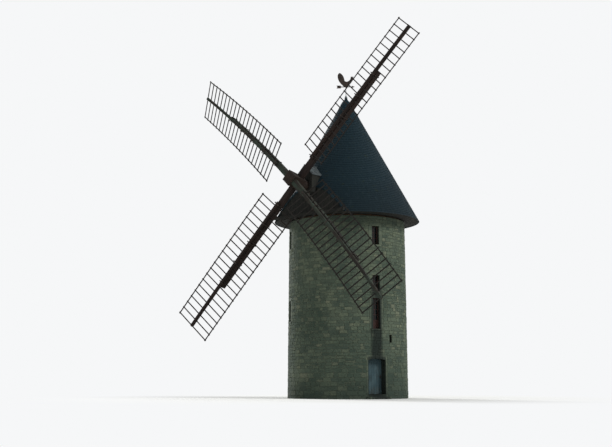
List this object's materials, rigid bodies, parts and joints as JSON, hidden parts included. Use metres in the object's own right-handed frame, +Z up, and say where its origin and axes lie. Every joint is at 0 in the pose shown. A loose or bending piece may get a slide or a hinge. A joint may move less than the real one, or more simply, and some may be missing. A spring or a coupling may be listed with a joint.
{
  "type": "stone tower windmill",
  "caption": "Round stone tower mill: conical slate cap that turns on a curb, lattice sails on crossed stocks, boarded door, column of small windows, cockerel weathervane.",
  "frame": {"origin": "centre of the tower on the ground, on the underside of the ground floor's slab", "axes": "+Z up, the windshaft's front end and the sails towards -Y, the door at 69 degrees from the front towards +X"},
  "size_m": [16.877, 10.6581, 19.804],
  "materials": {
    "rubble_masonry": "rough, weathered, lime mortar",
    "dressed_limestone": "sawn and weathered",
    "slate": "riven, matt",
    "painted_boards": "old dark paint",
    "weathered_boards": "bare, grey with age",
    "structural_oak": "sawn oak",
    "sail_timber": "weathered, tarred",
    "door_paint": "faded blue-grey paint",
    "window_glass": "old drawn glass",
    "wrought_iron": "rusted, dark",
    "lead": "dull lead, grey patina"
  },
  "bodies": {
    "tower": {"ground_slab": "dressed_limestone", "wall_front": "rubble_masonry", "wall_lower_side": "rubble_masonry", "wall_upper_side": "rubble_masonry", "wall_left_rear": "rubble_masonry", "wall_rear": "rubble_masonry", "wall_right_rear": "rubble_masonry", "wall_beside_door_left": "rubble_masonry", "wall_beside_door_right": "rubble_masonry", "wall_over_door": "rubble_masonry", "wall_first_window": "rubble_masonry", "wall_second_window": "rubble_masonry", "wall_third_window": "rubble_masonry", "door_surround": "dressed_limestone", "doorstep": "dressed_limestone", "door_pins": "wrought_iron", "window_stones": "dressed_limestone", "window_frames": "painted_boards", "window_panes": "window_glass", "timber_floors": "structural_oak", "fixed_curb": "structural_oak"},
    "cap": {"cap_ring": "structural_oak", "breast_beam": "structural_oak", "neck_bearing": "structural_oak", "tail_beam": "structural_oak", "eave_soffit": "weathered_boards", "roof_cone": "slate", "cap_front": "weathered_boards", "dormer": "weathered_boards", "dormer_roof": "slate", "finial": "lead"},
    "sails": {"windshaft": "sail_timber", "front_stock": "sail_timber", "rear_stock": "sail_timber", "whip_lower_right": "sail_timber", "whip_upper_left": "sail_timber", "whip_upper_right": "sail_timber", "whip_lower_left": "sail_timber", "lattice_lower_right": "sail_timber", "lattice_upper_left": "sail_timber", "lattice_upper_right": "sail_timber", "lattice_lower_left": "sail_timber"},
    "vane": {"weathervane": "wrought_iron"},
    "door": {"door_leaf": "door_paint", "door_ironwork": "wrought_iron"}
  },
  "joints": [
    {"name": "cap_turn", "type": "hinge", "parent": "tower", "child": "cap", "pos_m": [0, 0, 9.78], "axis": [0, 0, 1], "continuous": true},
    {"name": "sails_turn", "type": "hinge", "parent": "cap", "child": "sails", "pos_m": [0, -4.28, 11.6], "axis": [0, -0.9816, 0.1908], "continuous": true},
    {"name": "vane_turn", "type": "hinge", "parent": "cap", "child": "vane", "pos_m": [0, 0, 17.66], "axis": [0, 0, 1], "continuous": true},
    {"name": "door_swing", "type": "hinge", "parent": "tower", "child": "door", "pos_m": [2.49071, -1.48095, 1], "axis": [0, 0, 1], "range_deg": [0, 90]}
  ]
}
